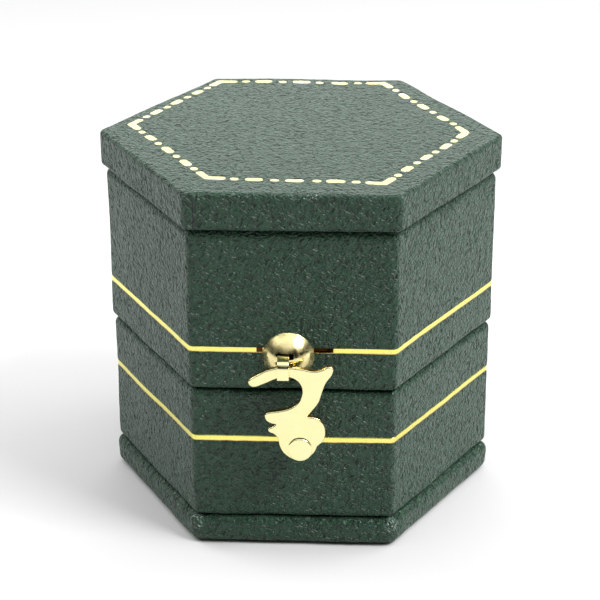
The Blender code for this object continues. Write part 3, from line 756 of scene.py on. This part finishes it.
def make_rivet(brass):
    low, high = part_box("latch_rivet")
    x, z = HOOK_PIVOT
    head, ease = 1.65 * MM, 0.12 * MM
    front = low.y
    lip = front + 0.25 * MM
    profile = [(0.001 * MM, front)]
    profile += [(head * 0.80, front)]
    profile += [
        (head - ease + ease * math.sin(math.radians(a)), front + ease * (1 - math.cos(math.radians(a))))
        for a in (0, 30, 60, 90)
    ]
    profile += [(head, lip), (RIVET_R, lip), (RIVET_R, high.y - 0.3 * MM), (RIVET_R * 1.5, high.y - 0.3 * MM)]
    profile += [(RIVET_R * 1.2, high.y), (0.001 * MM, high.y)]
    rivet = turned("brass_rivet", profile, (x, 0, z), brass)
    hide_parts("latch_rivet")
    return rivet


def strip_piece(name, path, thick, x_range, edge, material):
    """Flat strip bent along a path of y and z, with its long edges eased."""
    centre = np.array([tuple(p) for p in path])
    way = np.gradient(centre, axis=0)
    way /= np.linalg.norm(way, axis=1, keepdims=True)
    side = np.column_stack([-way[:, 1], way[:, 0]])
    half = thick / 2
    section = []
    for start, sx, sy in ((0, 1, 1), (90, -1, 1), (180, -1, -1), (270, 1, -1)):
        for a in (0, 45, 90):
            angle = math.radians(start + a)
            section.append((sx * (1 - edge) + edge * math.cos(angle), sy * (1 - edge) + edge * math.sin(angle)))
    middle, wide = (x_range[0] + x_range[1]) / 2, (x_range[1] - x_range[0]) / 2
    rings = []
    for point, out in zip(centre, side):
        rings.append([
            (middle + math.copysign(wide - (1 - abs(u)) * half, u), *(point + out * v * half)) for u, v in section
        ])
    rings = np.array(rings)
    around = rings.shape[1]
    faces = ring_faces(len(rings), around).tolist()
    faces += [list(range(around)), list(range((len(rings) - 1) * around, len(rings) * around))]
    mesh = mesh_from(name, rings, faces)
    face_out(mesh)
    return finish_piece(name, mesh, material, sharp=50)


def make_strap(brass):
    low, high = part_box("keeper_strap")
    sheet, bend = 0.40 * MM, 0.90 * MM
    front, back = low.y + sheet / 2, high.y - sheet / 2
    path = rounded(
        [(back, high.z, 0), (back, STRAP_RUN, bend / 2), (front, STRAP_RUN, bend), (front, low.z, 0)],
        closed=False, step=10,
    )
    strap = strip_piece("brass_strap", path, sheet, (low.x, high.x), 0.35, brass)
    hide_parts("keeper_strap")
    return strap


def make_dome(brass):
    """Domed stud with a slot, cut by a Boolean that is applied at once."""
    low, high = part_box("keeper_dome")
    x, z = (low.x + high.x) / 2, (low.z + high.z) / 2
    radius, height, sheet = (high.x - low.x) / 2, high.y - low.y, 0.30 * MM
    shares = np.linspace(0.001, 1, 28)
    outside = [(radius * t, -height * (1 - t**2.2)) for t in shares]
    inside = [((radius - sheet) * t, -(height - sheet) * (1 - t**2.2)) for t in shares[::-1]]
    profile = outside + inside
    dome = turned("brass_dome", profile, (x, high.y, z), brass, 96)
    cutter = bpy.data.meshes.new("slot_cutter")
    strap_low, strap_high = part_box("keeper_strap")
    bm = bmesh.new()
    bmesh.ops.create_cube(bm, size=1.0)
    corners = (
        (strap_low.x - 0.10 * MM, low.y - MM, STRAP_RUN - 0.36 * MM),
        (strap_high.x + 0.55 * MM, high.y - 0.8 * MM, STRAP_RUN + 0.42 * MM),
    )
    for vert in bm.verts:
        vert.co = Vector(corners[int(c > 0)][i] for i, c in enumerate(vert.co))
    bmesh.ops.bevel(bm, geom=bm.edges, offset=0.18 * MM, segments=3, affect="EDGES", profile=0.5)
    bm.to_mesh(cutter)
    bm.free()
    box = linked("slot_cutter", cutter)
    cut = dome.modifiers.new("slot", "BOOLEAN")
    cut.object = box
    cut.solver = "EXACT"
    apply_modifiers(dome)
    bpy.data.objects.remove(box)
    dome.data.set_sharp_from_angle(angle=math.radians(40))
    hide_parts("keeper_dome")
    return dome


def node_copy(name, node_name, material):
    """The mesh of a CAD node in a new object, for a soft piece that takes its place."""
    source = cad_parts[node_name]
    mesh = source.data.copy()
    mesh.name = name
    mesh.transform(source.matrix_world)
    mesh.materials.clear()
    return finish_piece(name, mesh, material)


def remeshed(obj, voxel):
    obj.modifiers.new("weld", "WELD").merge_threshold = 1e-6
    remesh = obj.modifiers.new("even_grid", "REMESH")
    remesh.mode = "VOXEL"
    remesh.voxel_size = voxel
    remesh.use_smooth_shade = True
    apply_modifiers(obj)


def points_of(mesh, what="co"):
    """One vector for each vertex: its place, or its normal."""
    flat = np.empty(len(mesh.vertices) * 3, np.float32)
    mesh.vertices.foreach_get(what, flat)
    return flat.reshape(-1, 3).astype(float)


def set_points(mesh, points):
    mesh.vertices.foreach_set("co", points.astype(np.float32).ravel())
    mesh.update()


def kept_inside(points, low, high):
    return np.clip(points, np.array(low), np.array(high))


def blown_up(obj, pressure):
    """Points of the mesh after twenty frames of cloth under pressure, at SIM_SCALE times its size."""
    obj.data.transform(Matrix.Scale(SIM_SCALE, 4))
    cloth = obj.modifiers.new("cloth", "CLOTH")
    settings = cloth.settings
    settings.quality = 6
    settings.mass = 0.3
    settings.tension_stiffness = 12
    settings.compression_stiffness = 12
    settings.bending_stiffness = 0.6
    settings.use_pressure = True
    settings.uniform_pressure_force = pressure
    settings.effector_weights.gravity = 0
    cloth.point_cache.frame_start, cloth.point_cache.frame_end = 1, SIM_FRAMES
    for step in range(1, SIM_FRAMES + 1):
        bpy.context.scene.frame_set(step)
    graph = bpy.context.evaluated_depsgraph_get()
    swollen = points_of(obj.evaluated_get(graph).data)
    obj.modifiers.clear()
    obj.data.transform(Matrix.Scale(1 / SIM_SCALE, 4))
    bpy.context.scene.frame_set(1)
    return swollen / SIM_SCALE


def stuffed(name, node_name, shrink, voxel, cap, pressure, material):
    """A padded piece: shrunk CAD shape, swollen by cloth under pressure, held inside the CAD box."""
    obj = node_copy(name, node_name, material)
    low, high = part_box(node_name)
    middle = (low + high) / 2
    size = high - low
    factors = [(extent - 2 * shrink) / extent for extent in size]
    place = Matrix.Translation(middle)
    obj.data.transform(place @ Matrix.Diagonal((*factors, 1)) @ place.inverted())
    remeshed(obj, voxel)
    start = points_of(obj.data)
    move = blown_up(obj, pressure) - start
    far = np.linalg.norm(move, axis=1, keepdims=True)
    move *= np.minimum(1, cap / np.maximum(far, 1e-9))
    set_points(obj.data, kept_inside(start + move, low, high))
    return obj


def creased(obj, depth_at):
    """Presses the surface in along its normals by a depth worked out from each point."""
    points = points_of(obj.data)
    set_points(obj.data, points - points_of(obj.data, "normal") * depth_at(points)[:, None])


def filling(obj, node_name, margin=0.02 * MM):
    """Scales the piece about its middle until it fills the CAD solid's box."""
    low, high = (np.array(corner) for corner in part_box(node_name))
    points = points_of(obj.data)
    first, last = points.min(axis=0), points.max(axis=0)
    share = (points - first) / (last - first)
    set_points(obj.data, low + margin + share * (high - low - 2 * margin))


def subdivided(obj):
    smooth = obj.modifiers.new("soft", "SUBSURF")
    smooth.levels = 1
    smooth.render_levels = 1
    apply_modifiers(obj)
    obj.data.shade_smooth()


def groove(distance, width, depth):
    """Depth of a rounded groove at this distance from its middle."""
    return depth * (1 - soft_step(np.abs(distance) / width))


def roll_creases(way):
    """Sewn channel across each end of a roll, and the shallow gathers beside it."""
    def depth_at(points):
        across = ROLL_SEAM - np.abs(points[:, 0])
        gathers = 0.05 * MM * np.sin(points[:, 1] / (0.42 * MM)) * np.exp(-np.abs(across) / (0.7 * MM))
        waves = 0.05 * MM * ripple(points, 5 * MM, 40 + way)
        return groove(across, 0.5 * MM, 0.28 * MM) + gathers + waves
    return depth_at


def lid_pad_creases(points):
    """Six channels from the middle of the satin pad to its corners, and a stitched line inside its edge."""
    angle = np.arctan2(points[:, 1], points[:, 0])
    radius = np.hypot(points[:, 0], points[:, 1])
    spoke = np.abs(np.sin(3 * angle)) / 3 * radius
    faces = [np.cos(angle - math.radians(30 + 60 * k)) for k in range(6)]
    apothem = radius * np.max(faces, axis=0)
    depth = groove(spoke, 0.9 * MM, 0.42 * MM) * soft_step(1.5 - apothem / PAD_SEAM)
    pucker = 0.10 * MM * np.cos(points[:, 0] / (0.55 * MM)) * np.exp(-spoke / (1.2 * MM))
    edge = groove(apothem - PAD_SEAM, 0.6 * MM, 0.30 * MM)
    button = groove(radius, 2.2 * MM, 0.9 * MM)
    waves = 0.06 * MM * ripple(points, 7 * MM, 52)
    underside = soft_step(0.5 - (points[:, 2] - PAD_MIDDLE) / (0.8 * MM))
    return (depth + pucker * 0.4 + edge + button + waves) * underside


def softened(name, node_name, voxel, seed, material):
    """Velvet or satin over card, or foam: edges eased, face slightly uneven, inside the CAD solid's box."""
    obj = node_copy(name, node_name, material)
    remeshed(obj, voxel)
    ease = obj.modifiers.new("ease", "SMOOTH")
    ease.factor = 0.5
    ease.iterations = 4
    apply_modifiers(obj)
    low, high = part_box(node_name)

    def depth_at(points):
        broad, small = ripple(points, 6 * MM, seed), ripple(points, 1.6 * MM, seed + 1)
        return 0.03 * MM + 0.03 * MM * broad + 0.012 * MM * small

    creased(obj, depth_at)
    set_points(obj.data, kept_inside(points_of(obj.data), low, high))
    obj.data.shade_smooth()
    return obj


def make_interior(velvet, satin, foam):
    for way, side_name in ((-1, "front"), (1, "back")):
        node_name = "ring_roll_" + side_name
        roll = stuffed("velvet_roll_" + side_name, node_name, 0.30 * MM, 0.36 * MM, 0.55 * MM, 4.0, velvet)
        creased(roll, roll_creases(way))
        subdivided(roll)
        filling(roll, node_name)
        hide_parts(node_name)
        ride_with("tray", "velvet", roll)
    pad = stuffed("satin_pad", "lid_pad", 0.35 * MM, 0.5 * MM, 0.9 * MM, 4.0, satin)
    creased(pad, lid_pad_creases)
    subdivided(pad)
    filling(pad, "lid_pad")
    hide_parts("lid_pad")
    ride_with("lid", "satin", pad)
    block = softened("foam_block", "pad_block", 0.40 * MM, 64, foam)
    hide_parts("pad_block")
    ride_with("tray", "foam", block)
    platform = softened("velvet_platform", "pad_platform", 0.28 * MM, 61, velvet)
    tray_lining = softened("velvet_lining", "tray_liner", 0.34 * MM, 62, velvet)
    lid_lining = softened("satin_lining", "lid_liner", 0.34 * MM, 63, satin)
    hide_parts("pad_platform")
    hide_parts("tray_liner")
    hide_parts("lid_liner")
    ride_with("tray", "velvet", platform, tray_lining)
    ride_with("lid", "satin", lid_lining)


def apply_modifiers(obj):
    graph = bpy.context.evaluated_depsgraph_get()
    mesh = bpy.data.meshes.new_from_object(obj.evaluated_get(graph))
    obj.modifiers.clear()
    old = obj.data
    obj.data = mesh
    mesh.name = old.name
    bpy.data.meshes.remove(old)


def eased(obj, width=0.06 * MM):
    """Softens the edges of a CAD piece that keeps its own shape."""
    obj.modifiers.new("weld", "WELD").merge_threshold = 1e-6
    bevel = obj.modifiers.new("eased_edges", "BEVEL")
    bevel.width = width
    bevel.segments = 2
    bevel.limit_method = "ANGLE"
    bevel.angle_limit = math.radians(40)
    obj.modifiers.new("flat_faces", "WEIGHTED_NORMAL").keep_sharp = True


# ---------------------------------------------------------------- stage

def make_camera():
    data = bpy.data.cameras.new("camera")
    data.sensor_width = 36.0
    data.lens = 119.68
    data.clip_start, data.clip_end = 0.01, 20.0
    camera = linked("camera", data)
    yaw, pitch, roll = (math.radians(a) for a in (2.81, 66.01, -0.26))
    turn = Matrix.Rotation(yaw, 4, "Z") @ Matrix.Rotation(pitch, 4, "X") @ Matrix.Rotation(roll, 4, "Z")
    camera.matrix_world = Matrix.Translation(Vector((12.73, -262.51, 143.58)) * MM) @ turn
    bpy.context.scene.camera = camera


def make_floor():
    mesh = bpy.data.meshes.new("floor")
    reach = 3.0
    corners = [(-reach, -reach, 0), (reach, -reach, 0), (reach, reach, 0), (-reach, reach, 0)]
    mesh.from_pydata(corners, [], [(0, 1, 2, 3)])
    material, tree, shader = new_material("pale_floor")
    at = millimetres(tree)
    shade = blend_colours(tree, noise(tree, at, 0.02, 2.0), (0.63, 0.63, 0.634, 1), (0.65, 0.65, 0.65, 1))
    connect(tree, shader, Base_Color=shade)
    shader.inputs["Roughness"].default_value = 0.9
    shader.inputs["Specular IOR Level"].default_value = 0.1
    floor = finish_piece("floor", mesh, material, smooth=False)


def area_light(name, place, target, size, power, size_y=None, colour=(1, 1, 1)):
    data = bpy.data.lights.new(name, "AREA")
    data.energy = power
    data.size = size
    data.color = colour
    if size_y:
        data.shape = "RECTANGLE"
        data.size_y = size_y
    light = linked(name, data)
    light.location = place
    light.rotation_mode = "QUATERNION"
    light.rotation_quaternion = (Vector(target) - Vector(place)).to_track_quat("-Z", "Y")
    light.visible_camera = False


def make_world():
    """Studio that is bright overhead, with a dark horizon and front. The camera sees it as plain near-white."""
    world = bpy.data.worlds.new("studio")
    bpy.context.scene.world = world
    world.use_nodes = True
    tree = world.node_tree
    sky = tree.nodes["Background"]
    way = node(tree, "TexCoord").outputs["Generated"]
    parts = node(tree, "SeparateXYZ", {0: way})
    dim_front = remap(tree, parts.outputs["Y"], -0.6, 0.1, 1.0, 0.0)
    low = remap(tree, parts.outputs["Z"], 0.35, 0.98, 1.0, 0.30)
    share = maths(tree, "MULTIPLY", dim_front, low)
    around = remap(tree, parts.outputs["Z"], 0.24, 0.75, 0.08, 1.54)
    level = maths(tree, "MULTIPLY", around, remap(tree, share, 0.0, 1.0, 1.0, 0.05))
    seen = node(tree, "LightPath").outputs["Is Camera Ray"]
    strength = node(tree, "Mix", {"Factor": seen, 2: level, 3: 0.97}, data_type="FLOAT").outputs[0]
    tree.links.new(strength, sky.inputs["Strength"])
    sky.inputs["Color"].default_value = (1.0, 1.0, 1.0, 1)


def make_lights():
    area_light("key", (0.43, -0.215, 0.575), (0, 0, 0.02), 0.28, 4.4)
    area_light("back_strip", (0.0, 0.088, 0.078), (0, 0, 0.052), 0.13, 0.030, size_y=0.03)
    area_light("left_wrap", (-0.24, 0.08, 0.20), (-0.02, 0.0, 0.03), 0.16, 0.34, size_y=0.10)
    area_light("right_wrap", (0.24, 0.08, 0.20), (0.02, 0.0, 0.03), 0.16, 0.24, size_y=0.10)


# ---------------------------------------------------------------- the box

def ride_with(body, slot, *pieces):
    for piece in pieces:
        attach(piece, body)


def make_coverings(leather, gilt, pale_foil, shaded_edge_brass):
    tray_low, tray_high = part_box("tray_cover")
    lid_low, lid_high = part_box("lid_cover")
    tray = sleeve("leather_tray", "tray_cover", tray_low.z, tray_high.z, 1.0 * MM, LINE_TRAY, 11, leather)
    lid = sleeve("leather_lid", "lid_cover", lid_high.z, lid_low.z, 1.35 * MM, LINE_LID, 21, leather)
    marks = border_marks()
    top = bag(
        "leather_top", "top_cover", (0.65 * MM, 0.6 * MM), TOP_CORNER, lambda p: top_height(p, marks), leather
    )
    base = bag("leather_base", "base_cover", (1.0 * MM, 1.1 * MM), BASE_CORNER, base_height, leather, 0.5 * MM)
    for piece, node_name in ((tray, "tray_cover"), (lid, "lid_cover"), (top, "top_cover"), (base, "base_cover")):
        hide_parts(node_name)
    ride_with("tray", "leatherette", tray, base)
    ride_with("lid", "leatherette", lid, top)
    tray_line = gilt_line("gilt_line_tray", tray_high.y, LINE_TRAY, 11, gilt, shaded_edge_brass)
    lid_line = gilt_line("gilt_line_lid", lid_high.y, LINE_LID, 21, gilt, shaded_edge_brass)
    border = gilt_border(marks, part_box("top_cover")[1].z, pale_foil)
    ride_with("tray", "brass", tray_line)
    ride_with("lid", "brass", lid_line, border)


def make_clasp(brass, shaded_edge_brass):
    ride_with("hook", "brass", make_hook(brass, shaded_edge_brass))
    ride_with("tray", "brass", make_rivet(brass))
    worn = brass_material("worn_brass", 0.10, 0.30, shade=0.92, dent=0.040 * MM)
    ride_with("lid", "brass", make_strap(brass), make_dome(worn))


def dress_cad(brass, board, felt):
    """Materials for the CAD pieces that keep their own shape."""
    by_slot = {
        brass: [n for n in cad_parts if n.startswith(("hinge_", "latch_", "keeper_"))],
        board: ["base_board", "tray_shell", "lid_shell", "top_board"],
        felt: ["base_underlay"],
    }
    for material, names in by_slot.items():
        for name in names:
            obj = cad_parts[name]
            obj.data.materials.clear()
            obj.data.materials.append(material)
            if not obj.hide_render:
                eased(obj)


def main():
    bpy.context.scene.view_settings.view_transform = "Standard"
    make_camera()
    make_floor()
    make_world()
    make_lights()
    leather = leather_material()
    gilt = gilt_material()
    brass = brass_material("bright_brass")
    # Darker brass as painted shade, for the edges of the hook and the lower strip of the gilt lines.
    shaded_edge_brass = brass_material("painted_shade_brass", 0.20, 0.34, shade=0.72)
    board = speckled_material("grey_board", (0.30, 0.28, 0.25, 1), (0.46, 0.44, 0.40, 1), 3.0, 0.9, 0.03 * MM)
    dark_felt, light_felt = (0.010, 0.026, 0.019, 1), (0.026, 0.056, 0.042, 1)
    felt = speckled_material("green_felt", dark_felt, light_felt, 5.0, 0.95, 0.06 * MM)
    foam = speckled_material("white_foam", (0.60, 0.59, 0.55, 1), (0.80, 0.79, 0.76, 1), 2.5, 0.95, 0.10 * MM)
    velvet = velvet_material("cream_velvet", (0.55, 0.49, 0.39, 1), (0.66, 0.60, 0.50, 1))
    satin = satin_material()
    make_coverings(leather, gilt, pale_foil_material(), shaded_edge_brass)
    make_clasp(brass, shaded_edge_brass)
    make_interior(velvet, satin, foam)
    dress_cad(brass, board, felt)


main()
